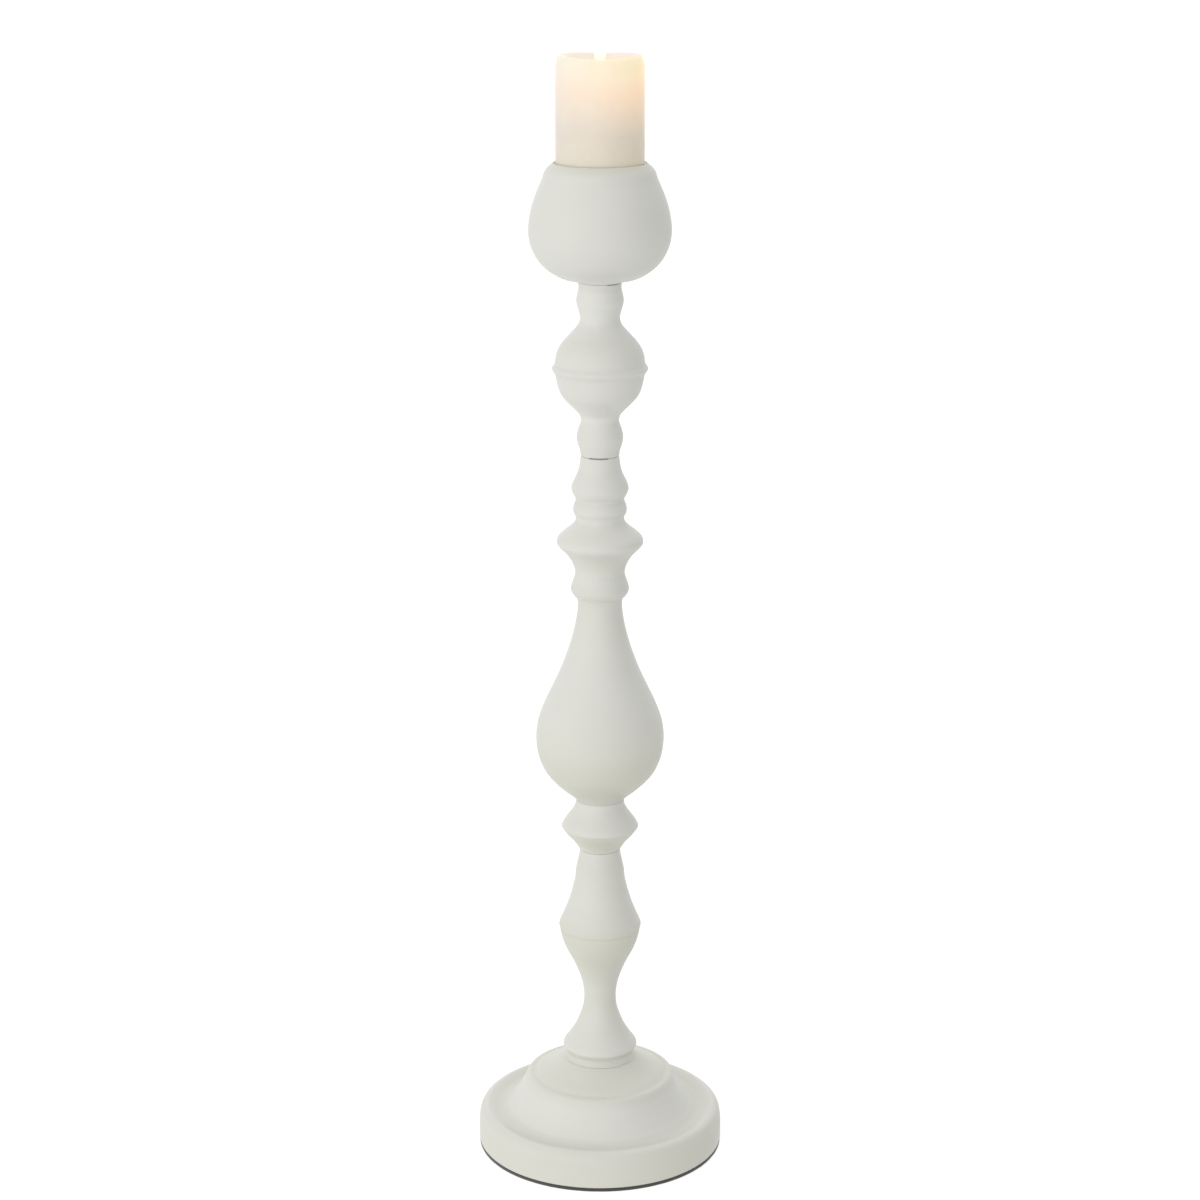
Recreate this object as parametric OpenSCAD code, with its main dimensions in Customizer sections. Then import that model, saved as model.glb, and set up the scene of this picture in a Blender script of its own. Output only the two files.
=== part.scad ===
// Turned, painted wooden candlestick with a pillar candle.
// A broad base, five turned sections and a cup, all clamped together by one threaded rod.
// The axis of the turning is Z and the origin is the middle of the underside.
// Every outline is written as [height above the section's seat, radius].

/* [Base] */
// Diameter of the base
base_d = 178; // [168:1:188]
// Height of the wooden base, from the pad to the seat of the column
base_h = 64; // [60:1:72]
// Thickness of the felt pad
pad_t = 2.5; // [1.5:0.5:4]

/* [Column] */
// Length of the lower column, a waist over the base that swells to a ridge
lower_h = 161.5; // [150:0.5:175]
// Diameter of the lower column's ridge
lower_d = 59.2; // [54:0.2:64]
// Length of the knop, a double cone
knop_h = 38; // [34:0.5:44]
// Diameter of the knop
knop_d = 55; // [50:0.5:60]
// Length of the vase
vase_h = 150.3; // [136:0.1:162]
// Diameter of the vase
vase_d = 91; // [84:0.5:98]
// Length of the collar section
collar_h = 101.2; // [92:0.1:112]
// Diameter of the collar
collar_d = 60.6; // [56:0.2:66]
// Length of the ball section
ball_h = 121; // [110:0.5:132]
// Diameter of the ring around the ball
ball_d = 66.4; // [62:0.2:72]

/* [Cup and candle] */
// Height of the cup
cup_h = 81.5; // [76:0.5:90]
// Largest diameter of the cup
cup_d = 98; // [90:0.5:106]
// Depth of the recess for the candle
recess_h = 30; // [22:1:34]
// Diameter of the candle
candle_d = 60; // [56:0.5:62]
// Length of the candle
candle_h = 100; // [60:1:150]
// Height of the metal liner's wall
liner_h = 29.2; // [14:0.1:30]
// Thickness of the metal liner
liner_t = 0.8; // [0.6:0.1:1]
// Diameter of the wick
wick_d = 2.4; // [1.6:0.2:3]
// Length of bare wick over the pool of wax
wick_show = 8.4; // [4:0.2:12]

/* [Joints] */
// Thread diameter of the tie rod
rod_d = 8; // [6:1:8]
// Diameter of the spigot under each section
spigot_d = 18; // [16:0.5:19]
// Length of the spigot under each section
spigot_h = 14; // [10:1:18]

/* [Hidden] */

round_fn = 120;
span_steps = 4;         // points drawn on each stretch of a smooth outline
arc_steps = 12;         // points drawn around a rounded corner
paint = [0.84, 0.84, 0.81];
zinc = [0.70, 0.71, 0.73];

pad_inset = 0.2;        // the pad stays this far inside the base's edge
hole_play = 0.5;        // radial room for the rod in its hole
glue_play = 0.1;        // radial room for glue around a spigot
socket_spare = 1.5;     // room under the end of a spigot
overlap = 1;            // how far a cutter passes the face that it leaves
seam_ease = 0.25;       // softened edge at each end of a section

fit_play = 0.3;         // radial room around the liner
candle_play = 0.4;      // radial room around the candle
liner_r = candle_d / 2 + candle_play + liner_t;
liner_bend = 2.5;       // outer bend between the liner's floor and its wall
recess_r = liner_r + fit_play;
lip_ease = 0.6;         // softened mouth of the recess
candle_foot = 2.6;      // height of the candle's rounded foot
pool_h = 6.6;           // depth of the hollow that the flame has melted in the candle's top

well_d = 30;            // counterbore that hides the nut under the base
well_h = 15;
cup_well_d = 26;        // counterbore that hides the nut in the cup's floor
cup_well_h = 12;

base_seat = pad_t;
lower_seat = base_seat + base_h;
knop_seat = lower_seat + lower_h;
vase_seat = knop_seat + knop_h;
collar_seat = vase_seat + vase_h;
ball_seat = collar_seat + collar_h;
cup_seat = ball_seat + ball_h;
cup_top = cup_seat + cup_h;
recess_z = cup_top - recess_h;
candle_z = recess_z + liner_t;

washer_t = 1.6;
washer_d = 24;
cup_washer_d = 22;
washer_play = 0.3;      // radial room for the rod in a washer
spring_t = 2;
spring_d = 14.8;
spring_gap = 2;         // split in the spring washer
nut_af = 13;            // across the flats of an M8 nut
nut_h = 6.5;
thin_nut_h = 4;
nut_ease = 0.6;         // height of the turned chamfer at each end of a nut
chamfer_play = 0.1;     // how far the chamfer cutter clears the hexagon's corners
rod_ease = 1;           // chamfer at each end of the rod
rod_show = 1.5;         // rod seen below the base's nut
rod_spare = 2;          // rod seen over the cup's nut
washer_z = base_seat + well_h - washer_t;
spring_z = washer_z - spring_t;
nut_z = spring_z - nut_h;
cup_washer_z = recess_z - cup_well_h;
cup_nut_z = cup_washer_z + washer_t;
rod_bottom = nut_z - rod_show;
rod_top = cup_nut_z + thin_nut_h + rod_spare;

// --- outlines -------------------------------------------------------------------------------

// Ends of a run are continued straight, so that the curve leaves them along its last chord.
function before(p) = 2 * p[0] - p[1];
function after(p) = 2 * p[len(p) - 1] - p[len(p) - 2];
function gap(a, b) = sqrt(norm(b - a));

// Direction of the smooth curve at b, between a and c, for a span of length s.
function heading(a, b, c, s) =
    s * ((b - a) / gap(a, b) - (c - a) / (gap(a, b) + gap(b, c)) + (c - b) / gap(b, c));

// Point at share t of the smooth span from b to c, with neighbours a and d.
function on_span(a, b, c, d, t) =
    let (s = gap(b, c), m = heading(a, b, c, s), n = -heading(d, c, b, s))
    (2 * t ^ 3 - 3 * t ^ 2 + 1) * b + (t ^ 3 - 2 * t ^ 2 + t) * m
    + (3 * t ^ 2 - 2 * t ^ 3) * c + (t ^ 3 - t ^ 2) * n;

// Smooth curve through the stations p.
function curve(p) =
    let (q = concat([before(p)], p, [after(p)]))
    concat([for (i = [1 : len(p) - 1], j = [0 : span_steps - 1])
        on_span(q[i - 1], q[i], q[i + 1], q[i + 2], j / span_steps)], [p[len(p) - 1]]);

// Quarter round of radius b that turns a floor at height z up into a wall of radius r.
function rounded(r, b, z) =
    [for (i = [0 : arc_steps]) let (a = 90 * i / arc_steps)
        [r - b + b * sin(a), z + b - b * cos(a)]];

// An outline is drawn at its own size and then stretched to a length and a largest diameter.
function stretched(p, h, d) =
    let (kh = h / p[len(p) - 1][0], kr = d / 2 / max([for (q = p) q[1]]))
    [for (q = p) [q[0] * kh, q[1] * kr]];

// Both ends of a section have a small softened edge, which draws a fine line at each joint.
function eased(p) =
    let (n = len(p) - 1)
    concat([[0, p[0][1] - seam_ease]], [[seam_ease, p[0][1]]],
        [for (q = p) if (q[0] > seam_ease && q[0] < p[n][0] - seam_ease) q],
        [[p[n][0] - seam_ease, p[n][1]]], [[p[n][0], p[n][1] - seam_ease]]);

base_outline = concat(
    [[0, 88.2], [0.8, 89]],
    curve([[13, 89], [17.5, 88.7], [21.3, 88], [23.7, 86.8], [25.2, 85], [26, 82.8]]),
    curve([[25.8, 81.6], [24.8, 78.5], [23.8, 75], [24, 71], [27, 66.4], [34, 61.3],
        [41.2, 57.3], [46.8, 54.6], [49.8, 53.1], [51, 51.6], [51.3, 50], [51.3, 48.4],
        [52.1, 46.6], [53.3, 44.8], [54.2, 42.8], [56.6, 37.4], [60, 31.4], [63, 27]]),
    [[64, 25.8]]);

lower_outline = concat(
    curve([[0, 25.8], [1.4, 24.8], [3.4, 24.2], [5.4, 24.1]]),
    curve([[6, 24.5], [7.2, 25.9], [9.2, 26.8], [11.4, 26.2], [13.6, 24.7]]),
    curve([[14.6, 23.8], [17.6, 21.8], [24.6, 17.6], [32.6, 14.3], [39.6, 12.2], [47, 11.5],
        [54, 12.1], [60, 13.3], [72.6, 17.9], [85.6, 24.5], [92, 27], [97.2, 28.4], [100, 28.9]]),
    [[100.6, 28.7]],
    curve([[101.2, 29.1], [103.6, 29.6], [106.2, 28.8], [109.6, 27.2]]),
    curve([[113.6, 25.6], [119.6, 23.2], [126.6, 21], [138.6, 18], [146, 17.2], [152, 16],
        [157.6, 14.8], [161.5, 14.4]]));

knop_outline = concat(
    curve([[0, 14.5], [4, 17], [8, 20.1], [12, 23.8], [17, 27.4]]),
    curve([[17.7, 27.5], [20.4, 26.1], [24, 23.6], [29, 20], [33, 17.9], [38, 17.1]]));

vase_outline =
    curve([[0, 17.2], [3, 20], [7.6, 25.7], [14.2, 32.8], [22.2, 39.2], [33.2, 43.8], [46, 45.5],
        [59, 44], [72, 39.4], [84, 33.8], [96, 28.3], [108, 23.7], [120, 19.9], [132, 17.1],
        [143, 15.6], [147, 15.7], [150.3, 16.4]]);

collar_outline = concat(
    curve([[0, 17.4], [1.2, 18.4], [3.4, 19.8], [5.9, 20.5], [10.9, 19.2], [17.2, 17.4],
        [23.7, 18.9], [30.2, 22.7], [35.7, 28], [38.1, 29.9]]),
    curve([[38.9, 30.3], [40.9, 30.2], [43.2, 29.3], [46.7, 25.7], [50.7, 20.7], [54.3, 17.5],
        [57.7, 16.7]]),
    curve([[58.3, 16.9], [60.7, 18.4], [63.5, 18.8], [66.3, 18.3], [69.1, 17.1]]),
    [[71.1, 16.8]],
    curve([[71.6, 17.2], [73.9, 18.6], [77.7, 20], [81.7, 19.2], [86.3, 17], [91.7, 14.8],
        [101.2, 13.4]]));

ball_outline = concat(
    curve([[0, 13.4], [4, 14], [8.5, 15.4], [13.6, 16.2], [19, 15.1], [25, 13.2], [29, 14.3],
        [32, 16.7], [37, 21.7], [42.6, 26.5], [49, 29.1], [56, 30.7]]),
    curve([[57.2, 30.7], [58, 31.3], [59.6, 32.4], [61.3, 33.2], [62.8, 32.6], [64.4, 31.5],
        [66.4, 31], [71, 30.3], [76, 28.3], [81.2, 24.6]]),
    curve([[81.8, 24], [86, 20.2], [91.6, 15.4], [94.5, 14.1], [97.6, 13.8], [102, 14.9],
        [108.6, 16.4], [113, 15.7], [117.5, 14.8], [121, 15.1]]));

cup_outline = concat(
    curve([[0, 14.9], [0.9, 16.8], [1.9, 20.8], [3.2, 26.4], [6, 32], [10.6, 38.2], [16, 42.9],
        [23.6, 46.8], [29, 48.3], [35.6, 49], [42, 48.5], [53, 46.2], [63.6, 42.3], [70, 39.5]]),
    curve([[72, 38.8], [74.8, 37.9], [77.4, 36.2], [79.6, 33.8], [81, 32.2]]),
    [[81.5, 31.6]]);

// --- shared solids --------------------------------------------------------------------------

module turned(outline) {
    last = outline[len(outline) - 1][0];
    rotate_extrude($fn = round_fn)
        polygon(concat([[0, outline[0][0]]], [for (q = outline) [q[1], q[0]]], [[0, last]]));
}

module cyl(d, z0, z1) {
    translate([0, 0, z0])
        cylinder(d = d, h = z1 - z0, $fn = round_fn);
}

// A section stands on its seat, with a spigot below and a socket for the next spigot above.
module section(outline, seat, h) {
    color(paint)
        translate([0, 0, seat])
        difference() {
            union() {
                turned(outline);
                cyl(spigot_d, -spigot_h, overlap);
            }
            cyl(rod_d + 2 * hole_play, -spigot_h - overlap, h);
            cyl(spigot_d + 2 * glue_play, h - spigot_h - socket_spare, h + overlap);
        }
}

module washer(z, outer, t) {
    color(zinc)
        difference() {
            cyl(outer, z, z + t);
            cyl(rod_d + 2 * washer_play, z - overlap, z + t + overlap);
        }
}

// Hexagon nut; its ends are turned, which takes the points off the hexagon's corners.
module nut(z, h) {
    corner_d = nut_af / cos(30);
    clear_r = corner_d / 2 + chamfer_play;
    color(zinc)
        difference() {
            translate([0, 0, z])
                intersection() {
                    cylinder(d = corner_d, h = h, $fn = 6);
                    turned([[0, nut_af / 2], [nut_ease, clear_r], [h - nut_ease, clear_r],
                        [h, nut_af / 2]]);
                }
            cyl(rod_d, z - overlap, z + h + overlap);
        }
}

// --- the pieces -----------------------------------------------------------------------------

module felt_pad() {
    color([0.23, 0.23, 0.22])
        cyl(base_d - 2 * pad_inset, 0, pad_t);
}

module base() {
    color(paint)
        translate([0, 0, base_seat])
        difference() {
            turned(stretched(base_outline, base_h, base_d));
            cyl(rod_d + 2 * hole_play, -overlap, base_h);
            cyl(well_d, -overlap, well_h);
            cyl(spigot_d + 2 * glue_play, base_h - spigot_h - socket_spare, base_h + overlap);
        }
}

module lower_column() {
    section(eased(stretched(lower_outline, lower_h, lower_d)), lower_seat, lower_h);
}

module knop() {
    section(eased(stretched(knop_outline, knop_h, knop_d)), knop_seat, knop_h);
}

module vase() {
    section(eased(stretched(vase_outline, vase_h, vase_d)), vase_seat, vase_h);
}

module collar_section() {
    section(eased(stretched(collar_outline, collar_h, collar_d)), collar_seat, collar_h);
}

module ball_section() {
    section(eased(stretched(ball_outline, ball_h, ball_d)), ball_seat, ball_h);
}

module cup() {
    color(paint)
        translate([0, 0, cup_seat])
        difference() {
            union() {
                turned(stretched(cup_outline, cup_h, cup_d));
                cyl(spigot_d, -spigot_h, overlap);
            }
            cyl(rod_d + 2 * hole_play, -spigot_h - overlap, cup_h);
            cyl(cup_well_d, cup_h - recess_h - cup_well_h, cup_h);
            cyl(2 * recess_r, cup_h - recess_h, cup_h + overlap);
            translate([0, 0, cup_h - lip_ease])
                cylinder(r1 = recess_r, r2 = recess_r + 2 * lip_ease, h = 2 * lip_ease,
                    $fn = round_fn);
        }
}

// Pressed metal dish that keeps the flame and the wax off the wood.
module cup_liner() {
    inner_r = liner_r - liner_t;
    inner_bend = liner_bend - liner_t;
    color([0.72, 0.71, 0.68])
        translate([0, 0, recess_z])
        rotate_extrude($fn = round_fn)
        polygon(concat(
            [[0, 0]],
            rounded(liner_r, liner_bend, 0),
            [[liner_r, liner_h], [inner_r, liner_h]],
            [for (i = [arc_steps : -1 : 0]) rounded(inner_r, inner_bend, liner_t)[i]],
            [[0, liner_t]]));
}

// Pillar candle with a soft rim around the hollow that its flame has melted.
module candle() {
    r = candle_d / 2;
    h = candle_h;
    color([0.94, 0.87, 0.76])
        translate([0, 0, candle_z])
        difference() {
            turned(concat(
                [[0, r - candle_foot]],
                curve([[0.6, r - 0.9], [1.8, r - 0.2], [candle_foot, r]]),
                curve([[h - 7, r], [h - 5.5, r - 0.2], [h - 3.5, r - 0.75], [h - 1.6, r - 1.2],
                    [h - 0.4, r - 1.7], [h, r - 2.8], [h - 0.7, r - 4.8], [h - 3.4, r - 7.8],
                    [h - 5.8, r - 12], [h - pool_h, r - 20]])));
            cyl(wick_d, -overlap, h);
        }
}

module wick() {
    color([0.16, 0.14, 0.12])
        cyl(wick_d, candle_z + overlap, candle_z + candle_h - pool_h + wick_show);
}

module tie_rod() {
    length = rod_top - rod_bottom;
    color(zinc)
        translate([0, 0, rod_bottom])
        turned([[0, rod_d / 2 - rod_ease], [rod_ease, rod_d / 2], [length - rod_ease, rod_d / 2],
            [length, rod_d / 2 - rod_ease]]);
}

module base_washer() {
    washer(washer_z, washer_d, washer_t);
}

// Split spring washer: it keeps the stack tight as the wood shrinks.
module base_spring_washer() {
    difference() {
        washer(spring_z, spring_d, spring_t);
        translate([0, -spring_gap / 2, spring_z - overlap])
            cube([spring_d, spring_gap, spring_t + 2 * overlap]);
    }
}

module base_nut() {
    nut(nut_z, nut_h);
}

module cup_washer() {
    washer(cup_washer_z, cup_washer_d, washer_t);
}

module cup_nut() {
    nut(cup_nut_z, thin_nut_h);
}

felt_pad();
base();
lower_column();
knop();
vase();
collar_section();
ball_section();
cup();
cup_liner();
candle();
wick();
tie_rod();
base_washer();
base_spring_washer();
base_nut();
cup_washer();
cup_nut();
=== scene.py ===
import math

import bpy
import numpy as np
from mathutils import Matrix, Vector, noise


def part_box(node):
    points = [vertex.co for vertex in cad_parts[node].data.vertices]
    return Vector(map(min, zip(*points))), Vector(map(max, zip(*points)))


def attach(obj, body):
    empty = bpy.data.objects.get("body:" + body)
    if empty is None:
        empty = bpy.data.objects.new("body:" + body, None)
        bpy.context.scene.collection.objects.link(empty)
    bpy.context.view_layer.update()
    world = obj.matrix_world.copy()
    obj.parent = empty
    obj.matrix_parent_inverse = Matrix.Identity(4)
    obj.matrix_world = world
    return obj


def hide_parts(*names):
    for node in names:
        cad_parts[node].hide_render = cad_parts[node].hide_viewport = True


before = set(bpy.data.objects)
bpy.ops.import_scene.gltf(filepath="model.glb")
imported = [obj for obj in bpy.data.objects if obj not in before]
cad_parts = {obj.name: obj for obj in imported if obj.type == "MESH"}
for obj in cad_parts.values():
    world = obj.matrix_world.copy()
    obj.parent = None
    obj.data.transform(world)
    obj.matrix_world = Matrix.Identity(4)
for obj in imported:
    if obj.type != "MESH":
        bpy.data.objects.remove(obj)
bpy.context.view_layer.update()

# Painted wooden candlestick with a burning pillar candle, on a white floor. The wooden pieces, the
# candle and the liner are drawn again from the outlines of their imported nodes, as fine lathe meshes
# with rounded edges, and the pad, the wick and the rod are drawn inside their boxes. The washers
# and nuts stay as packed. Every material is made of nodes.
# Lengths are metres, +Z is up, the front faces -Y, and azimuths are measured from the front
# towards +X.

MM = 0.001


# --- outlines ---------------------------------------------------------------------------------


def node_outline(name):
    """The outline that a node is turned from, as an array of (r, z) rows in order.

    The seam of a turned node lies in the half plane y = 0, x >= 0, so the mesh edges there are
    its outline. A closed outline has no repeated point; an open one starts at its lower end.
    """
    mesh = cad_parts[name].data
    co = [v.co for v in mesh.vertices]
    on_seam = [abs(p.y) < 1e-6 and p.x > -1e-6 for p in co]
    keys = [(round(p.x / MM, 2), round(p.z / MM, 2)) for p in co]
    links = {}
    for edge in mesh.edges:
        a, b = edge.vertices
        if on_seam[a] and on_seam[b] and keys[a] != keys[b]:
            links.setdefault(keys[a], set()).add(keys[b])
            links.setdefault(keys[b], set()).add(keys[a])
    ends = [key for key, near in links.items() if len(near) == 1]
    path = [min(ends or links, key=lambda key: (key[1], key[0]))]
    came_from = None
    while True:
        onward = [key for key in links[path[-1]] if key != came_from]
        if not onward:
            break
        came_from = path[-1]
        following = max(onward)
        if following == path[0]:
            break
        path.append(following)
    return np.array(path) * MM


def turn(a, b, c):
    """Angle in degrees by which an outline turns at b."""
    return math.degrees(Vector(b - a).angle(Vector(c - b), 0.0))


def smooth_run(points, pitch):
    """Points about pitch apart on a centripetal Catmull-Rom curve through the given ones."""
    p = [2 * points[0] - points[1], *points, 2 * points[-1] - points[-2]]
    out = [p[1]]
    for a, b, c, d in zip(p, p[1:], p[2:], p[3:]):
        before, here, after = (math.sqrt(np.linalg.norm(v - u)) for u, v in ((a, b), (b, c), (c, d)))
        leave = here * ((b - a) / before - (c - a) / (before + here) + (c - b) / here)
        arrive = here * ((c - b) / here - (d - b) / (here + after) + (d - c) / after)
        steps = max(1, round(np.linalg.norm(c - b) / pitch))
        for t in (k / steps for k in range(1, steps + 1)):
            out.append((2 * t**3 - 3 * t**2 + 1) * b + (t**3 - 2 * t**2 + t) * leave
                       + (3 * t**2 - 2 * t**3) * c + (t**3 - t**2) * arrive)
    return out


def point_along(run, distance):
    """The point at a distance from the start of a run."""
    for p, q in zip(run, run[1:]):
        step = np.linalg.norm(q - p)
        if distance <= step:
            return p + (q - p) * distance / step
        distance -= step
    return run[-1]


CORNER_SHARE = 0.35        # the most of a run that the rounding of one corner takes
CORNER_STEPS = 4
CORNER_CLEAR = 1.2         # a run's own points stay this many roundings away from its corner


def fine_outline(points, closed, pitch=0.8 * MM, ease=0.9 * MM, fill=0.9 * MM, sharp=24.0):
    """The outline with smooth runs drawn finely and its sharp corners rounded.

    Convex corners are eased and hollow ones are filled, each over its own distance. A corner is
    where the outline turns by more than sharp, in degrees.
    """
    count = len(points)
    inner = range(count) if closed else range(1, count - 1)
    corners = [i for i in inner if turn(points[i - 1], points[i], points[(i + 1) % count]) > sharp]
    stops = corners + [corners[0] + count] if closed else [0, *corners, count - 1]
    runs = [smooth_run([points[i % count] for i in range(a, b + 1)], pitch)
            for a, b in zip(stops, stops[1:])]
    lengths = [sum(np.linalg.norm(q - p) for p, q in zip(run, run[1:])) for run in runs]

    def rounding(k):
        """How far from the corner at the start of run k its rounding begins."""
        before, after = runs[k - 1][-2:], runs[k % len(runs)][:2]
        (ax, ay), (bx, by) = before[1] - before[0], after[1] - after[0]
        wanted = ease if ax * by > ay * bx else fill
        return min(wanted, CORNER_SHARE * lengths[k - 1], CORNER_SHARE * lengths[k % len(runs)])

    out = []
    for k, (run, length) in enumerate(zip(runs, lengths)):
        cut = rounding(k) if closed or k > 0 else 0.0
        last_cut = rounding(k + 1) if closed or k + 1 < len(runs) else 0.0
        if cut:
            start = point_along(runs[k - 1][::-1], cut)
            end = point_along(run, cut)
            for t in (step / CORNER_STEPS for step in range(CORNER_STEPS + 1)):
                out.append((1 - t) ** 2 * start + 2 * t * (1 - t) * run[0] + t * t * end)
        else:
            out.append(run[0])
        done = 0.0
        for p, q in zip(run, run[1:-1]):
            done += np.linalg.norm(q - p)
            if CORNER_CLEAR * cut < done < length - CORNER_CLEAR * last_cut:
                out.append(q)
    if not closed:
        out.append(runs[-1][-1])
    return np.array(out)


def split_long(points, closed, longest):
    """The outline with extra points wherever two are further apart than longest."""
    out = []
    pairs = zip(points, np.roll(points, -1, axis=0)) if closed else zip(points, points[1:])
    for p, q in pairs:
        steps = max(1, math.ceil(np.linalg.norm(q - p) / longest))
        out.extend(p + (q - p) * k / steps for k in range(steps))
    if not closed:
        out.append(points[-1])
    return np.array(out)


def bulge(points, closed, reach):
    """How far each point of an outline stands out of, or lies in, the line through its neighbours
    a reach away along the outline: positive on an edge and negative in a groove, over reach."""
    ring = np.vstack([points, points[:1]]) if closed else points
    s = np.concatenate([[0], np.cumsum(np.linalg.norm(np.diff(ring, axis=0), axis=1))])
    total = s[-1]
    here = s[: len(points)]

    def at(distance):
        distance = distance % total if closed else np.clip(distance, 0, total)
        return np.stack([np.interp(distance, s, ring[:, k]) for k in (0, 1)], axis=1)

    back, ahead = at(here - reach), at(here + reach)
    chord = ahead - back
    normal = np.stack([chord[:, 1], -chord[:, 0]], axis=1)
    normal /= np.maximum(np.linalg.norm(normal, axis=1, keepdims=True), 1e-9)
    return ((points - (back + ahead) / 2) * normal).sum(axis=1) / reach


# --- meshes -----------------------------------------------------------------------------------


def finished(name, verts, faces, body, material, replaced=()):
    """A smooth mesh piece that rides on a body, takes a material and stands for CAD nodes."""
    mesh = bpy.data.meshes.new(name)
    mesh.from_pydata([tuple(v) for v in verts], [], faces)
    mesh.validate()
    mesh.shade_smooth()
    mesh.materials.append(material)
    piece = bpy.data.objects.new(name, mesh)
    bpy.context.scene.collection.objects.link(piece)
    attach(piece, body)
    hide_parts(*replaced)
    return piece


def ring_faces(rings, segments, closed):
    """Quads between successive rings of vertices, numbered ring by ring."""
    faces = []
    for i in range(rings if closed else rings - 1):
        a, b = i * segments, (i + 1) % rings * segments
        for j in range(segments):
            k = (j + 1) % segments
            faces.append((a + j, a + k, b + k, b + j))
    return faces


def lathe(name, outline, closed, segments, body, material, replaced=(), shape=None):
    """Turns an outline, listed anticlockwise as seen with r to the right, into a closed mesh.

    An open outline has its ends closed on the axis. shape(r, z, azimuth) may move a point.
    """
    azimuths = [2 * math.pi * j / segments for j in range(segments)]
    verts = []
    for r, z in outline:
        for azimuth in azimuths:
            radius, height = shape(r, z, azimuth) if shape else (r, z)
            verts.append((radius * math.sin(azimuth), -radius * math.cos(azimuth), height))
    faces = ring_faces(len(outline), segments, closed)
    if not closed:
        last = (len(outline) - 1) * segments
        low, high = len(verts), len(verts) + 1
        verts += [(0, 0, outline[0][1]), (0, 0, outline[-1][1])]
        for j in range(segments):
            k = (j + 1) % segments
            faces.append((k, j, low))
            faces.append((last + j, last + k, high))
    return finished(name, verts, faces, body, material, replaced)


def set_normals(piece, outline, segments):
    """Exact normals of a closed turned mesh, so that broad faces beside a small edge stay flat."""
    along = np.roll(outline, -1, axis=0) - np.roll(outline, 1, axis=0)
    out = np.stack([along[:, 1], -along[:, 0]], axis=1)
    out /= np.linalg.norm(out, axis=1, keepdims=True)
    normals = []
    for r_part, z_part in out:
        for j in range(segments):
            azimuth = 2 * math.pi * j / segments
            normals.append((r_part * math.sin(azimuth), -r_part * math.cos(azimuth), z_part))
    piece.data.normals_split_custom_set_from_vertices(normals)


def paint_points(piece, name, values, segments):
    """Stores one number per ring of a turned mesh, or per vertex, for its material to read."""
    layer = piece.data.attributes.new(name, "FLOAT", "POINT")
    if len(values) != len(piece.data.vertices):
        values = np.repeat(values, segments)
    layer.data.foreach_set("value", np.asarray(values, np.float32))


# --- material nodes ---------------------------------------------------------------------------


class Tree:
    """A material's nodes, built with short calls. A value may be a number, a colour or a socket."""

    def __init__(self, name):
        self.material = bpy.data.materials.new(name)
        self.material.use_nodes = True
        self.nodes = self.material.node_tree.nodes
        self.links = self.material.node_tree.links
        self.shader = self.nodes["Principled BSDF"]

    def put(self, socket, value):
        if isinstance(value, bpy.types.NodeSocket):
            self.links.new(value, socket)
        elif isinstance(value, tuple) and len(value) == 3 and socket.type == "RGBA":
            socket.default_value = (*value, 1.0)
        else:
            socket.default_value = value

    def set(self, **values):
        for key, value in values.items():
            self.put(self.shader.inputs[key.replace("_", " ")], value)

    def position(self, stretch=(1, 1, 1)):
        """Object coordinates, in metres, which for every piece here is the row's own frame."""
        source = self.nodes.new("ShaderNodeTexCoord").outputs["Object"]
        if stretch == (1, 1, 1):
            return source
        scaled = self.nodes.new("ShaderNodeVectorMath")
        scaled.operation = "MULTIPLY"
        self.put(scaled.inputs[0], source)
        scaled.inputs[1].default_value = stretch
        return scaled.outputs[0]

    def coordinate(self, axis):
        split = self.nodes.new("ShaderNodeSeparateXYZ")
        self.put(split.inputs[0], self.position())
        return split.outputs[axis]

    def attribute(self, name):
        read = self.nodes.new("ShaderNodeAttribute")
        read.attribute_name = name
        return read.outputs["Fac"]

    def noise(self, grain, detail=3.0, roughness=0.55, stretch=(1, 1, 1)):
        """Noise from 0 to 1 whose patches are about grain metres across."""
        made = self.nodes.new("ShaderNodeTexNoise")
        self.put(made.inputs["Vector"], self.position(stretch))
        made.inputs["Scale"].default_value = 1 / grain
        made.inputs["Detail"].default_value = detail
        made.inputs["Roughness"].default_value = roughness
        return made.outputs["Fac"]

    def calc(self, operation, *values):
        made = self.nodes.new("ShaderNodeMath")
        made.operation = operation
        for socket, value in zip(made.inputs, values):
            self.put(socket, value)
        return made.outputs[0]

    def span(self, value, from_low, from_high, to_low, to_high):
        """Maps a value from one range to another and holds it inside the second."""
        made = self.nodes.new("ShaderNodeMapRange")
        for socket, number in zip(made.inputs, (value, from_low, from_high, to_low, to_high)):
            self.put(socket, number)
        return made.outputs[0]

    def mix(self, share, first, second, blend="MIX"):
        made = self.nodes.new("ShaderNodeMix")
        made.data_type = "RGBA"
        made.blend_type = blend
        self.put(made.inputs["Factor"], share)
        self.put(made.inputs[6], first)
        self.put(made.inputs[7], second)
        return made.outputs[2]

    def ramp(self, value, *stops):
        made = self.nodes.new("ShaderNodeValToRGB")
        self.put(made.inputs[0], value)
        points = made.color_ramp.elements
        while len(points) < len(stops):
            points.new(0.5)
        for point, (place, colour) in zip(points, sorted(stops)):
            point.position = place
            point.color = (*colour, 1.0)
        return made.outputs[0]

    def bump(self, height, depth, under=None):
        """Relief of that depth in metres, for a height from 0 to 1, on top of another relief."""
        made = self.nodes.new("ShaderNodeBump")
        made.inputs["Distance"].default_value = depth
        self.put(made.inputs["Height"], height)
        if under is not None:
            self.put(made.inputs["Normal"], under)
        return made.outputs[0]


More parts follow.
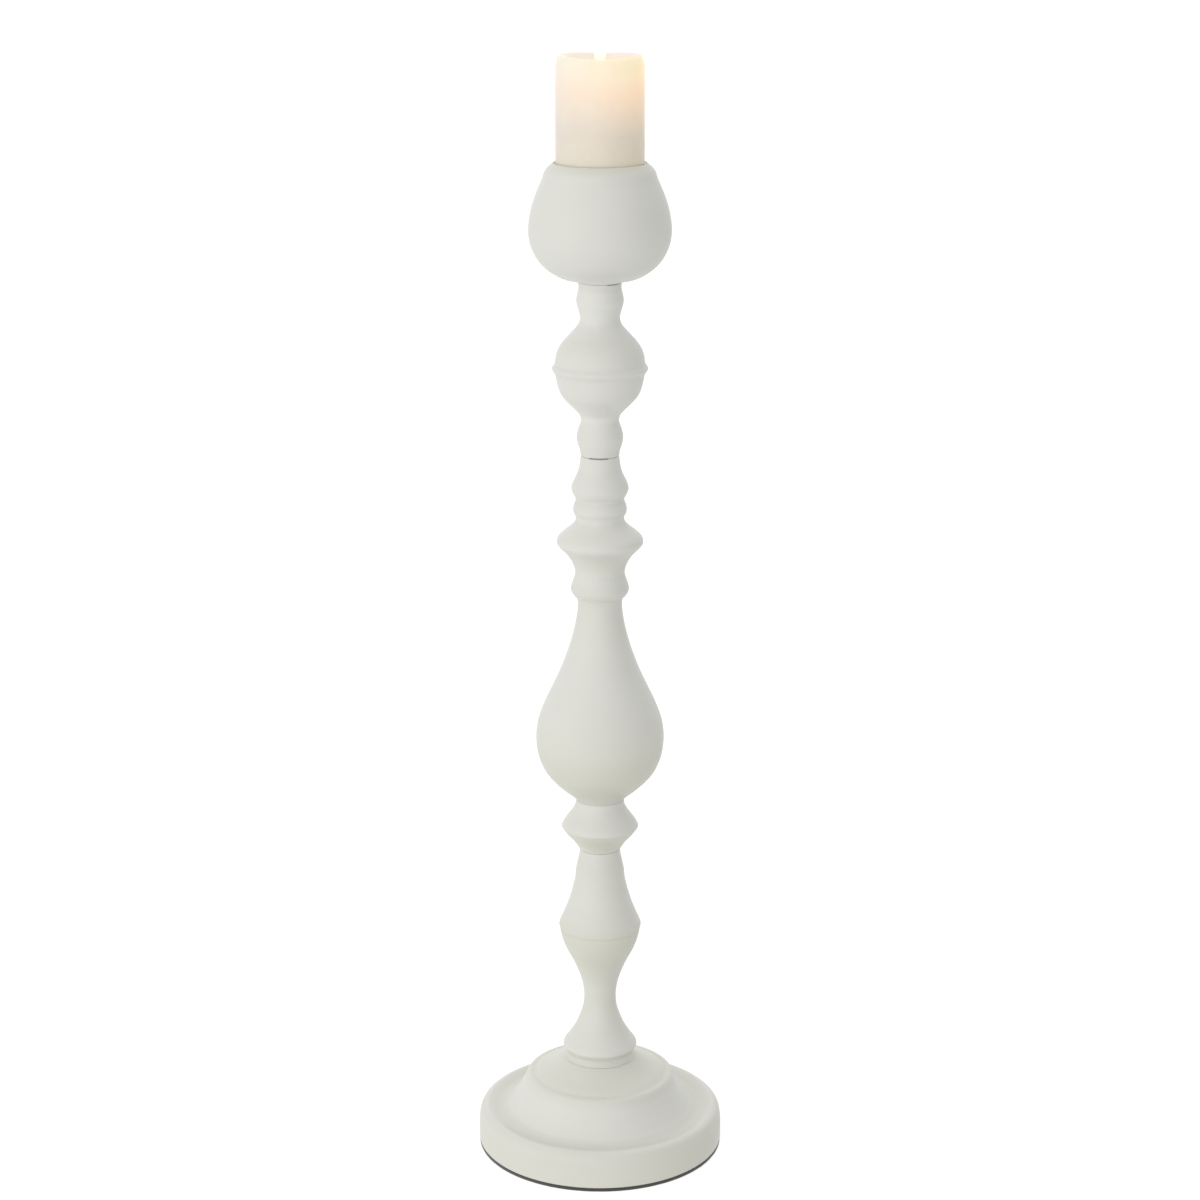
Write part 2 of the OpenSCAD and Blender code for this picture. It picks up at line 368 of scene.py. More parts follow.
def painted_wood():
    """Satin off-white paint, sprayed over turned wood that is left bare inside the joints.

    Painted shade darkens and yellows it, and painted light whitens it, where each falls.
    """
    t = Tree("painted_wood")
    patches = t.noise(28 * MM, detail=4)
    speckle = t.noise(0.9 * MM, detail=2)
    grain = t.noise(1.1 * MM, detail=3, stretch=(1, 1, 0.045))
    rings = t.noise(1.4 * MM, detail=2, stretch=(0.02, 0.02, 1))
    groove = t.attribute("groove")
    edge = t.attribute("edge")
    colour = t.mix(patches, (0.640, 0.640, 0.588), (0.672, 0.672, 0.626))
    colour = t.mix(t.span(speckle, 0.35, 0.75, 0.0, 0.5), colour, (0.645, 0.643, 0.594))
    # Painted highlight: the paint is lighter along convex edges.
    colour = t.mix(t.calc("MULTIPLY", edge, t.span(patches, 0.3, 0.7, 0.05, 0.40)), colour,
                   (0.715, 0.712, 0.672))
    # Painted light and shade: whiter where light falls, darker and yellower where shade falls.
    painted_shading = t.attribute("painted_shading")
    colour = t.mix(t.span(painted_shading, 0.0, 1.0, 0.0, 1.0), colour, (0.800, 0.800, 0.760))
    colour = t.mix(t.span(painted_shading, 0.0, -1.0, 0.0, 1.0), colour, (0.590, 0.590, 0.500))
    # Painted shade, with some dust, darkens and yellows the grooves.
    groove_shade_and_dust = t.calc("MULTIPLY", groove, t.span(t.noise(6 * MM), 0.3, 0.7, 0.05, 0.40))
    colour = t.mix(groove_shade_and_dust, colour, (0.540, 0.535, 0.475))
    # Painted shade: the open cracks in the seams are painted near black.
    colour = t.mix(t.attribute("gap"), colour, (0.10, 0.095, 0.085))
    wood = t.mix(grain, (0.46, 0.31, 0.175), (0.66, 0.49, 0.31))
    colour = t.mix(t.attribute("bare"), colour, wood)
    rough = t.span(patches, 0.3, 0.7, 0.40, 0.50)
    rough = t.calc("ADD", rough, t.calc("MULTIPLY", groove_shade_and_dust, 0.22))
    rough = t.calc("MAXIMUM", rough, t.calc("MULTIPLY", t.attribute("bare"), 0.78))
    relief = t.bump(grain, 0.012 * MM)
    relief = t.bump(rings, 0.010 * MM, relief)
    relief = t.bump(t.noise(1.6 * MM, detail=1), 0.020 * MM, relief)
    relief = t.bump(t.noise(12 * MM, detail=1), 0.060 * MM, relief)
    t.set(Base_Color=colour, Roughness=rough, Normal=relief)
    return t.material


def felt():
    """Dark pressed felt with matted fibres."""
    t = Tree("felt")
    fibres = t.noise(0.7 * MM, detail=6, roughness=0.75)
    matting = t.noise(7 * MM, detail=3)
    colour = t.mix(fibres, (0.020, 0.020, 0.019), (0.085, 0.084, 0.080))
    colour = t.mix(t.span(matting, 0.35, 0.7, 0.0, 0.45), colour, (0.045, 0.043, 0.040))
    relief = t.bump(matting, 0.15 * MM)
    relief = t.bump(fibres, 0.30 * MM, relief)
    t.set(Base_Color=colour, Roughness=t.span(fibres, 0, 1, 0.85, 1.0), Normal=relief,
          Sheen_Weight=0.35, Sheen_Roughness=0.6, Specular_IOR_Level=0.2)
    return t.material


# The flame's light inside the wax, painted in as a glow: how far up the lit part of the candle each
# stop lies, and its colour.
# It is faint at the foot, orange where the light has come through the most wax, and yellow at the rim.
GLOW = ((0.10, (0.04, 0.04, 0.03)), (0.35, (0.06, 0.06, 0.06)), (0.75, (0.29, 0.21, 0.12)),
        (0.85, (0.29, 0.27, 0.16)), (1.00, (0.26, 0.30, 0.17)))

# What the glow is multiplied by at the candle's left and right, outside it and in its hollow.
OUTER_TINTS = ((0.65, 0.60, 1.00), (1.50, 1.15, 0.85))
INNER_TINTS = ((0.60, 0.70, 1.25), (0.60, 0.20, 0.75))


def wax(low, high, radius):
    """Ivory candle wax with the flame's light painted into it as a glow: the glow fades from the rim
    down to the cup, and it is painted stronger and redder on the right."""
    t = Tree("wax")
    clouds = t.noise(14 * MM, detail=4)
    fine = t.noise(1.8 * MM, detail=3)
    colour = t.mix(clouds, (0.685, 0.618, 0.502), (0.735, 0.675, 0.565))
    colour = t.mix(t.span(fine, 0.55, 0.8, 0.0, 0.35), colour, (0.74, 0.69, 0.60))
    sway = t.span(t.noise(30 * MM, detail=2), 0.2, 0.8, -3 * MM, 3 * MM)
    glow = t.ramp(t.span(t.calc("ADD", t.coordinate("Z"), sway), low, high, 0.0, 1.0), *GLOW)
    across = t.span(t.coordinate("X"), -radius, radius, 0.0, 1.0)
    warmth = t.mix(t.attribute("inside"), t.mix(across, *OUTER_TINTS), t.mix(across, *INNER_TINTS))
    rough = t.span(clouds, 0.3, 0.7, 0.38, 0.52)
    relief = t.bump(clouds, 0.25 * MM)
    relief = t.bump(fine, 0.03 * MM, relief)
    t.set(Base_Color=colour, Roughness=rough, Normal=relief,
          Emission_Color=t.mix(1.0, glow, warmth, "MULTIPLY"), Emission_Strength=1.0,
          Subsurface_Weight=0.35, Subsurface_Radius=(1.0, 0.55, 0.3), Subsurface_Scale=8 * MM)
    return t.material


def melted_wax():
    """The pool of molten wax: clearer, smoother and yellower than the candle, with the flame's hard
    light painted on it as a glow.
    """
    t = Tree("melted_wax")
    swirl = t.noise(9 * MM, detail=2)
    colour = t.mix(swirl, (0.62, 0.50, 0.31), (0.72, 0.60, 0.41))
    t.set(Base_Color=colour, Roughness=t.span(swirl, 0.3, 0.7, 0.04, 0.09),
          Normal=t.bump(swirl, 0.05 * MM), Emission_Strength=1.0,
          Emission_Color=t.mix(swirl, (0.24, 0.17, 0.07), (0.32, 0.23, 0.11)),
          Coat_Weight=0.6, Coat_Roughness=0.03)
    return t.material


def burnt_cotton(low, high):
    """Braided wick, waxed below and charred above, with an ember at its tip."""
    t = Tree("wick_cotton")
    up = t.span(t.coordinate("Z"), low, high, 0.0, 1.0)
    strands = t.noise(0.35 * MM, detail=3)
    colour = t.ramp(up, (0.0, (0.60, 0.52, 0.38)), (0.35, (0.20, 0.13, 0.075)),
                    (0.6, (0.018, 0.015, 0.013)))
    colour = t.mix(t.span(strands, 0.4, 0.8, 0.0, 0.5), colour, (0.055, 0.048, 0.042))
    ember = t.ramp(up, (0.82, (0.0, 0.0, 0.0)), (0.93, (0.75, 0.13, 0.02)), (1.0, (1.0, 0.36, 0.08)))
    t.set(Base_Color=colour, Roughness=t.span(strands, 0, 1, 0.75, 1.0),
          Normal=t.bump(strands, 0.15 * MM), Emission_Color=ember, Emission_Strength=1.5)
    return t.material


def fire(low, high):
    """Candle flame: a cream foot under a body that is nearly white."""
    t = Tree("fire")
    up = t.span(t.coordinate("Z"), low, high, 0.0, 1.0)
    waver = t.noise(9 * MM, detail=1)
    flicker = t.span(waver, 0.3, 0.7, -0.03, 0.03)
    colour = t.ramp(t.calc("ADD", up, flicker), (0.00, (0.80, 0.74, 0.52)), (0.12, (0.90, 0.88, 0.70)),
                    (0.30, (0.93, 0.92, 0.76)), (0.50, (0.99, 0.98, 0.93)), (1.0, (1.0, 0.99, 0.95)))
    t.set(Base_Color=t.mix(waver, (0.22, 0.21, 0.17), (0.28, 0.27, 0.23)),
          Roughness=t.span(waver, 0.3, 0.7, 0.8, 1.0),
          Emission_Color=colour, Emission_Strength=1.0, Specular_IOR_Level=0.0)
    return t.material


def metal(name, dull, bright, grain, stretch, low_rough, high_rough):
    """Plated or pressed metal, with patches in its colour and its polish and fine drawing marks."""
    t = Tree(name)
    patches = t.noise(5 * MM, detail=4)
    marks = t.noise(grain, detail=3, stretch=stretch)
    colour = t.mix(t.span(patches, 0.3, 0.7, 0.0, 1.0), dull, bright)
    colour = t.mix(t.span(marks, 0.55, 0.8, 0.0, 0.4), colour, dull)
    relief = t.bump(marks, 0.012 * MM)
    relief = t.bump(patches, 0.03 * MM, relief)
    t.set(Base_Color=colour, Metallic=1.0, Normal=relief,
          Roughness=t.span(patches, 0.3, 0.7, low_rough, high_rough))
    return t.material


# --- the turned wooden pieces -----------------------------------------------------------------

TURNED = ("base", "lower_column", "knop", "vase", "collar_section", "ball_section", "cup")
BASE_SEGMENTS = 208
SECTION_SEGMENTS = 144
SEAM_FILL = 0.17 * MM      # how far paint has filled the eased edge at each end of a section
CORNER_FILL = 1.8 * MM     # how far out of a hollow corner the paint has filled it
WOOD_LONGEST = 2.5 * MM    # the longest step between two rings


def drawn_outline(name):
    """The fine outline of a wooden piece, with paint in its hollow corners and its seams."""
    outline = node_outline(name)
    below = TURNED[:TURNED.index(name)]
    if below and name != "cup":
        for seam in (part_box(below[-1])[1].z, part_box(name)[1].z):
            on_seam = np.abs(outline[:, 1] - seam) < 0.01 * MM
            outline[np.where(on_seam, outline[:, 0], 0).argmax(), 0] += SEAM_FILL
    return split_long(fine_outline(outline, closed=True, fill=CORNER_FILL), True, WOOD_LONGEST)


FINE = {name: drawn_outline(name) for name in TURNED}
PAINT_CREEP = 3 * MM       # how far paint reaches into a joint
NEAR = 0.6 * MM            # within this height of a seat, a point belongs to its corner
RECESS_R = 30 * MM         # the cup's recess is painted from its rim to its floor
RECESS_DEPTH = 31 * MM
CORE_R = 10 * MM           # the bores and sockets inside this radius are left true
WAVE = 0.05 * MM           # how far hand sanding has moved the surface in and out
WAVE_SIZE = 0.045

# How an outline's bulge, measured over a reach, becomes painted shade with dust in a groove
# and a painted highlight on an edge.
BULGE_REACH = 1.4 * MM
GROOVE_GAIN = 2.6
EDGE_GAIN = 2.2
EDGE_START = 0.25

# Where the paint has cracked open along a seam: the piece above it, and for each crack the
# azimuths in degrees that it runs between and how wide it opens, from 0 to 1.
CRACKS = {
    "ball_section": ((-36, 28, 1.0),),
    "cup": ((18, 62, 0.8),),
}
CRACK_REACH = 0.7 * MM     # how far over and under a seam its edges have crumbled
CRACK_DEPTH = 1.2 * MM
CRACK_FADE = 3.0           # degrees over which a crack closes at each end
CRACK_GRAIN = 7.0          # degrees between the ragged places in it

# Painted light and shade on each piece: heights in millimetres above the piece's seat, and there
# how it is painted, from -1, darker and yellower where shade falls, to 1, whiter where light falls.
PAINTED_SHADING = {
    "base": ((0, -0.5), (16, -0.5), (24, -0.3), (27, 0.2), (44, 0.1), (50, -0.3), (62, -0.35)),
    "lower_column": ((0, -0.3), (5, -0.1), (14, 0.0), (23, -0.2), (34, -0.2), (44, -0.5), (57, -0.35),
                     (70, -0.6), (86, -0.65), (92, -0.8), (102, -0.8), (108, -0.25), (125, -0.1),
                     (138, -0.25), (146, -0.4), (154, -0.2), (160, 0.0)),
    "knop": ((0, 0.2), (2, -0.5), (5, -0.9), (16, -0.8), (18, 0.1), (23, 0.15), (31, 0.35),
             (38, 0.1)),
    "vase": ((0, 0.0), (4, -0.6), (12, -0.95), (34, -0.8), (46, -0.4), (56, -0.25), (70, 0.0),
             (115, 0.0), (128, -0.2), (143, -0.3), (150, -0.4)),
    "collar_section": ((0, -0.2), (5, -0.4), (9, 0.0), (14, 0.15), (18, 0.0), (23, -0.4), (34, -0.4),
                       (38, 0.0), (54, 0.05), (59, 0.35), (61, 0.0)),
    "ball_section": ((0, -0.4), (5, -0.1), (14, 0.0), (19, 0.15), (25, 0.35), (30, 0.15), (38, 0.0),
                     (82, 0.0), (88, 0.2), (95, 0.35), (103, 0.2), (109, 0.3), (114, 0.6), (117, 0.4),
                     (119, 0.3)),
    "cup": ((0, 0.9), (5, 0.25), (9, 0.0), (74, 0.0), (78, -0.3), (81, -0.7)),
}


def opened(azimuth, cracks):
    """How far a seam stands open at an azimuth, from 0 to 1."""
    degrees = math.degrees(azimuth)
    if degrees > 180:
        degrees -= 360
    best = 0.0
    for start, end, most in cracks:
        inside = min(degrees - start, end - degrees) / CRACK_FADE
        ragged = 0.75 + 0.25 * noise.noise(Vector((degrees / CRACK_GRAIN, start, 0.0)))
        best = max(best, min(1.0, max(0.0, inside)) * most * ragged)
    return best


def widest_near(name, height):
    """The index and radius of the widest outline point beside a height."""
    r, z = FINE[name].T
    index = max(np.flatnonzero(np.abs(z - height) < NEAR), key=lambda i: r[i])
    return index, r[index]


def neighbours(name):
    """The two seams of a wooden piece, as (height, the piece on its other side or None)."""
    place = TURNED.index(name)
    low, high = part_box(name)
    below = TURNED[place - 1] if place else None
    above = TURNED[place + 1] if place + 1 < len(TURNED) else None
    return (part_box(below)[1].z if below else low.z, below), (high.z, above)


def painted_rings(name):
    """Which points of a piece's outline have paint: its outside, a little way into its joints and,
    in the cup, the recess."""
    r, z = FINE[name].T
    count = len(r)
    (seat, _), (top, _) = neighbours(name)
    first, last = widest_near(name, seat)[0], widest_near(name, top)[0]
    if last < first:
        last += count
    painted = np.zeros(count, bool)
    painted[np.arange(first, last + 1) % count] = True
    for height, other in neighbours(name):
        if other:
            contact = min(widest_near(name, height)[1], widest_near(other, height)[1])
            painted |= (np.abs(z - height) < NEAR) & (r > contact - PAINT_CREEP)
    if name == "cup":
        painted |= (r > RECESS_R) & (z > top - RECESS_DEPTH)
    return painted


def paint_piece(name, material, segments):
    """One wooden piece, drawn again from its node with softened edges and a sprayed skin."""
    outline = FINE[name]
    painted = painted_rings(name)
    (seat, below), (top, above) = neighbours(name)

    def seam_open(point_z, azimuth):
        wide = 0.0
        for height, other, cracks in ((seat, below, CRACKS.get(name, ())),
                                      (top, above, CRACKS.get(above, ()))):
            if other:
                wide += max(0.0, 1 - abs(point_z - height) / CRACK_REACH) * opened(azimuth, cracks)
        return wide

    def shape(point_r, point_z, azimuth):
        if point_r < CORE_R:
            return point_r, point_z
        place = Vector((math.sin(azimuth) * point_r, math.cos(azimuth) * point_r, point_z))
        point_r += WAVE * noise.noise(place / WAVE_SIZE)
        return point_r - CRACK_DEPTH * seam_open(point_z, azimuth), point_z

    piece = lathe("painted_" + name, outline, True, segments, "root", material,
                  (name,), shape)
    set_normals(piece, outline, segments)
    z = outline[:, 1]
    swell = bulge(outline, True, BULGE_REACH)
    groove = np.clip(-swell * GROOVE_GAIN, 0, 1)
    edge = np.clip(swell * EDGE_GAIN - EDGE_START, 0, 1)
    # Painted shade with dust in the grooves.
    paint_points(piece, "groove", np.where(painted, groove, 0), segments)
    # A painted highlight along the edges.
    paint_points(piece, "edge", np.where(painted, edge, 0), segments)
    # Painted light and shade, by height above the seat.
    paint_points(piece, "painted_shading", np.interp((z - seat) / MM, *zip(*PAINTED_SHADING[name])), segments)
    paint_points(piece, "bare", np.where(painted, 0.0, 1.0), segments)
    # Painted shade in the open cracks of the seams.
    gaps = [min(1.0, seam_open(height, 2 * math.pi * j / segments)) if skin else 0.0
            for height, skin in zip(z, painted) for j in range(segments)]
    paint_points(piece, "gap", gaps, segments)
    return piece


paint = painted_wood()
for turned_name in TURNED:
    paint_piece(turned_name, paint, BASE_SEGMENTS if turned_name == "base" else SECTION_SEGMENTS)


# --- candle, wick and flame -------------------------------------------------------------------

candle_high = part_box("candle")[1]
wick_low, wick_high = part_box("wick")
candle_r = candle_high.x
wick_r = wick_high.x

CANDLE_SEGMENTS = 160
GLOW_REACH = 78 * MM       # how far below the rim the candle is lit from inside
MELT_REACH = 16 * MM       # how far below the rim its shape has softened
RIM_SHARE = 0.88           # where the softened rim is highest, out of the candle's radius
RIM_WIDTH = 7 * MM
FRONT_DIP = 0.6 * MM       # how far the melted rim has sunk in front of the flame
DIP_WIDTH = 0.5            # in radians
SIDE_SWELL = 1.1 * MM      # how far the rim stands up at the left and right
RIM_NOISE = 0.3 * MM
SIDE_NOISE = 0.12 * MM
SIDE_WAVE = 0.02           # the height of a wave in the sides
SIDE_SKIN = 3 * MM         # the sides' waves reach this far in from the candle's surface
WICK_CORE = 4 * MM         # the wick's bore and its surroundings are left true
HOLLOW_DEPTH = 10 * MM     # how far down from the rim the hollow's tints reach
HOLLOW_WALL = 2 * MM       # how far in from the candle's surface they begin


def candle_shape(r, z, azimuth):
    """Makes the melted rim uneven, lowest at the front, and the sides a little wavy."""
    if r < WICK_CORE:
        return r, z
    ring = Vector((math.sin(azimuth), math.cos(azimuth), 0.4))
    near_top = max(0.0, 1 - (candle_high.z - z) / MELT_REACH) ** 2
    near_rim = math.exp(-(((r - candle_r * RIM_SHARE) / RIM_WIDTH) ** 2))
    dip = FRONT_DIP * math.exp(-((math.remainder(azimuth, 2 * math.pi) / DIP_WIDTH) ** 2))
    swell = SIDE_SWELL * math.sin(azimuth) ** 2
    uneven = near_top * near_rim * (swell - dip + RIM_NOISE * noise.noise(ring * 1.7))
    if r < candle_r - SIDE_SKIN:
        return r, z + uneven
    wave = SIDE_NOISE * noise.noise(Vector((ring.x * 2, ring.y * 2, z / SIDE_WAVE)))
    return r + min(0.0, wave), z + uneven


candle_outline = split_long(fine_outline(node_outline("candle"), True, 0.7 * MM), True, 1.6 * MM)
wax_candle = lathe("wax_candle", candle_outline, True, CANDLE_SEGMENTS, "candle",
                   wax(candle_high.z - GLOW_REACH, candle_high.z, candle_r), ("candle",),
                   candle_shape)
outline_r, outline_z = candle_outline.T
hollow = (outline_r < candle_r - HOLLOW_WALL) & (outline_z > candle_high.z - HOLLOW_DEPTH)
paint_points(wax_candle, "inside", hollow.astype(float), CANDLE_SEGMENTS)

POOL_SHARE = 0.66          # the pool's radius out of the candle's
POOL_REACH = 8 * MM        # the bottom of the hollow lies within this depth of the rim
POOL_SINK = 0.5 * MM       # how far the pool's surface lies under its edge
POOL_LIFT = 0.04 * MM      # keeps the pool's underside clear of the candle's mesh
POOL_GAP = 0.3 * MM        # between the pool and the wick
WETTING = 2.2 * MM         # how far from the wax and the wick the surface starts to rise


def molten_pool():
    """Molten wax in the bottom of the hollow, raised where it wets the candle and the wick."""
    bowl = sorted((r, z) for r, z in candle_outline
                  if wick_r + POOL_GAP < r < POOL_SHARE * candle_r
                  and z > candle_high.z - POOL_REACH)
    (inner_r, _), (outer_r, edge_z) = bowl[0], bowl[-1]
    surface = edge_z - POOL_SINK
    outline = [(r, z + POOL_LIFT) for r, z in bowl]
    outline += [(outer_r - 0.8 * MM, surface + 0.12 * MM), (outer_r - WETTING, surface),
                (inner_r + WETTING, surface), (inner_r + 0.7 * MM, surface + 0.18 * MM),
                (inner_r, surface + POOL_SINK)]
    lathe("wax_pool", np.array(outline), True, 96, "candle", melted_wax())


molten_pool()

# The wick stands in the candle, leaves the pool and curls over to the front.
curl = [(0, 0, wick_low.z), (0, 0, candle_high.z - 12 * MM), (0, 0, candle_high.z - 6 * MM),
        (0.1 * MM, -0.2 * MM, wick_high.z - 5 * MM), (0.4 * MM, -0.6 * MM, wick_high.z - 2.6 * MM),
        (0.7 * MM, -1.3 * MM, wick_high.z - 0.6 * MM)]


STRANDS = 3
STRAND_RELIEF = 0.10       # how deep the strands are, out of the wick's radius
STRAND_TWIST = 1.1         # radians that they wind in one radius of length
FRAYED_ROWS = 6            # the rings over which the tip narrows


def braided(name, stations, radius, pitch, segments, body, material, replaced):
    """A tube along a smooth line, with strands wound round it and an end that narrows."""
    line = smooth_run([np.array(p) for p in stations], pitch)
    verts = []
    for i, p in enumerate(line):
        ahead = Vector(line[min(i + 1, len(line) - 1)] - line[max(i - 1, 0)]).normalized()
        side = ahead.cross(Vector((0, 1, 0.01))).normalized()
        up = side.cross(ahead)
        taper = min(1.0, (len(line) - i) / FRAYED_ROWS) ** 0.5
        for j in range(segments):
            angle = 2 * math.pi * j / segments
            wound = STRANDS * angle - i * pitch / radius * STRAND_TWIST
            strand = 1 - STRAND_RELIEF + STRAND_RELIEF * math.cos(wound)
            out = (side * math.cos(angle) + up * math.sin(angle)) * radius * strand * taper
            verts.append(Vector(p) + out)
    faces = ring_faces(len(line), segments, False)
    faces = [tuple(reversed(face)) for face in faces]
    faces.append(tuple(range(segments)))
    faces.append(tuple(reversed(range(len(verts) - segments, len(verts)))))
    return finished(name, verts, faces, body, material, replaced)


braided("burnt_wick", curl, wick_r * 0.95, 0.35 * MM, 18, "candle",
        burnt_cotton(candle_high.z - 7 * MM, wick_high.z), ("wick",))

FLAME_TOP = 16 * MM        # above the top of the wick
FLAME_FOOT = 7.6 * MM      # below the top of the wick
FLAME_R = 4.45 * MM
FLAME_ROWS = 44
FLAME_WAVER = 0.05         # how far from round it is, out of its radius
FLAME_LEAN = 0.5 * MM      # how far its tip leans to the right
FLAME_FRONT = 0.6 * MM     # how far its foot stands out to the front, where the wick curls
flame_low = wick_high.z - FLAME_FOOT
flame_high = wick_high.z + FLAME_TOP


def flame_width(share):
    """Half the width of the flame at a share of its height, out of about 1 at its widest.

    The first power puts the widest place below the middle, and the other two round the ends.
    """
    return math.sin(math.pi * share ** 0.65) ** 0.9 * (1 - share) ** 0.2


def flame_shape(r, z, azimuth):
    """Wavers the flame, so that it isn't quite round."""
    rise = (z - flame_low) / (flame_high - flame_low)
    return r * (1 + FLAME_WAVER * math.sin(2 * azimuth + 5 * rise)), z


def candle_flame():
    """The flame round the wick. It rides on the candle and stands for no CAD node."""
    shares = [row / FLAME_ROWS for row in range(1, FLAME_ROWS)]
    outline = [(FLAME_R * flame_width(share), flame_low + share * (flame_high - flame_low))
               for share in shares]
    flame = lathe("candle_flame", np.array(outline), False, 48, "candle",
                  fire(flame_low, flame_high), (), flame_shape)
    for vert in flame.data.vertices:
        rise = (vert.co.z - flame_low) / (flame_high - flame_low)
        vert.co.x += FLAME_LEAN * rise**2
        vert.co.y -= FLAME_FRONT * (1 - rise)
    flame.visible_shadow = False
    flame.visible_diffuse = False


LAMP_POWER = 0.004         # watts
LAMP_COLOUR = (1.0, 0.72, 0.40)
LAMP_SIZE = 4 * MM


def flame_lamp():
    """The light that the flame throws on the wax and the cup."""
    light = bpy.data.lights.new("flame_light", "POINT")
    light.energy = LAMP_POWER
    light.color = LAMP_COLOUR
    light.shadow_soft_size = LAMP_SIZE
    glow_lamp = bpy.data.objects.new("flame_light", light)
    glow_lamp.location = (0.5 * MM, -1 * MM, wick_high.z + 4 * MM)
    bpy.context.scene.collection.objects.link(glow_lamp)
    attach(glow_lamp, "candle")


candle_flame()
flame_lamp()


# --- felt, liner and hardware -----------------------------------------------------------------

pad_low, pad_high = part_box("felt_pad")
NAP = 0.12 * MM            # how uneven the pad's underside is
NAP_SIZE = 0.004
CUT_EDGE = 0.18 * MM       # how far its edge is cut inside the true circle
CUT_BAND = 2 * MM          # the part of its radius that the cut reaches


def felt_shape(r, z, azimuth):
    """A cut edge that isn't quite true, and a nap that isn't quite flat underneath."""
    ring = Vector((math.sin(azimuth) * 22, math.cos(azimuth) * 22, z * 900))
    nap = Vector((math.sin(azimuth) * r / NAP_SIZE, math.cos(azimuth) * r / NAP_SIZE, 3.0))
    free = z < pad_low.z + 0.4 * MM
    lift = NAP * (0.5 + 0.5 * noise.noise(nap)) if free and r > 2 * MM else 0.0
    edge = CUT_EDGE * noise.noise(ring) if r > pad_high.x - CUT_BAND else 0.0
    return r + min(edge, 0.0), z + lift


PAD_CENTRE = 0.2 * MM      # the outline starts this far from the axis
pad_corners = [(PAD_CENTRE, pad_low.z), (pad_high.x, pad_low.z), (pad_high.x, pad_high.z),
               (PAD_CENTRE, pad_high.z)]
pad_outline = fine_outline(np.array(pad_corners), False, ease=0.7 * MM)
lathe("felt_pad_nap", split_long(pad_outline, False, 3 * MM), False, 240, "root", felt(),
      ("felt_pad",), felt_shape)

liner_outline = fine_outline(node_outline("cup_liner"), False, ease=0.25 * MM)
liner_metal = metal("liner_metal", (0.66, 0.65, 0.60), (0.80, 0.79, 0.74), 0.5 * MM,
                    (0.06, 0.06, 1), 0.30, 0.46)
lathe("pressed_liner", split_long(liner_outline, False, 2.5 * MM), False, 128, "liner",
      liner_metal, ("cup_liner",))

zinc = metal("zinc_steel", (0.44, 0.45, 0.47), (0.66, 0.67, 0.70), 0.35 * MM, (1, 1, 0.3), 0.28, 0.46)
rod_low, rod_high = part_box("tie_rod")
THREAD_PITCH = 1.25 * MM
THREAD_DEPTH = 0.68 * MM
THREAD_LENGTH = 28 * MM
ROD_CHAMFER = 1 * MM
PLAIN_RINGS = 90


def threaded_rod(material, segments=36, rows_per_turn=8):
    """The tie rod: plain in the middle, with a rolled thread cut on each end."""
    fine = THREAD_PITCH / rows_per_turn
    rows = int(THREAD_LENGTH / fine)
    heights = [rod_low.z + i * fine for i in range(rows + 1)]
    heights += list(np.linspace(heights[-1], rod_high.z - THREAD_LENGTH, PLAIN_RINGS)[1:])
    heights += [rod_high.z - THREAD_LENGTH + (i + 1) * fine for i in range(rows)]
    heights[-1] = rod_high.z
    verts = []
    for z in heights:
        from_end = min(z - rod_low.z, rod_high.z - z)
        chamfer = max(0.0, ROD_CHAMFER - from_end)
        cut = min(1.0, max(0.0, (THREAD_LENGTH - from_end) / THREAD_PITCH))
        for j in range(segments):
            # A triangle wave, cut off top and bottom, gives the thread flat crests and roots.
            turns = z / THREAD_PITCH - j / segments
            wave = 2 * abs(turns - math.floor(turns) - 0.5)
            depth = THREAD_DEPTH * cut * min(1.0, max(0.0, 1.25 * wave - 0.125))
            r = min(rod_high.x - depth, rod_high.x - chamfer)
            angle = 2 * math.pi * j / segments
            verts.append((r * math.sin(angle), -r * math.cos(angle), z))
    faces = ring_faces(len(heights), segments, False)
    faces.append(tuple(reversed(range(segments))))
    faces.append(tuple(range(len(verts) - segments, len(verts))))
    return finished("threaded_tie_rod", verts, faces, "root", material, ("tie_rod",))


threaded_rod(zinc)
for part in ("base_washer", "base_spring_washer", "base_nut", "cup_washer", "cup_nut"):
    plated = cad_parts[part]
    plated.data.materials.clear()
    plated.data.materials.append(zinc)


# --- floor, light and camera ------------------------------------------------------------------


def floor_material():
    """Plain floor, lit mostly from within, so that it stays white beside the base."""
    t = Tree("floor")
    t.set(Base_Color=(0.25, 0.25, 0.25), Roughness=0.9, Specular_IOR_Level=0.1,
          Emission_Color=(1, 1, 1), Emission_Strength=0.84)
    return t.material


FLOOR_REACH = 5.0          # from the candlestick to each edge of the floor
FLOOR_GAP = 0.1 * MM       # keeps the floor clear of the pad's underside


def plain_floor():
    """A flat square floor. Diffuse rays pass it by, so its glow doesn't light the candlestick."""
    mesh = bpy.data.meshes.new("floor")
    near, far = -FLOOR_REACH, FLOOR_REACH
    mesh.from_pydata([(near, near, 0), (far, near, 0), (far, far, 0), (near, far, 0)], [],
                     [(0, 1, 2, 3)])
    mesh.materials.append(floor_material())
    floor = bpy.data.objects.new("floor", mesh)
    floor.location.z = -FLOOR_GAP
    floor.visible_diffuse = False
    bpy.context.scene.collection.objects.link(floor)


plain_floor()
scene = bpy.context.scene
scene.view_settings.view_transform = "Standard"

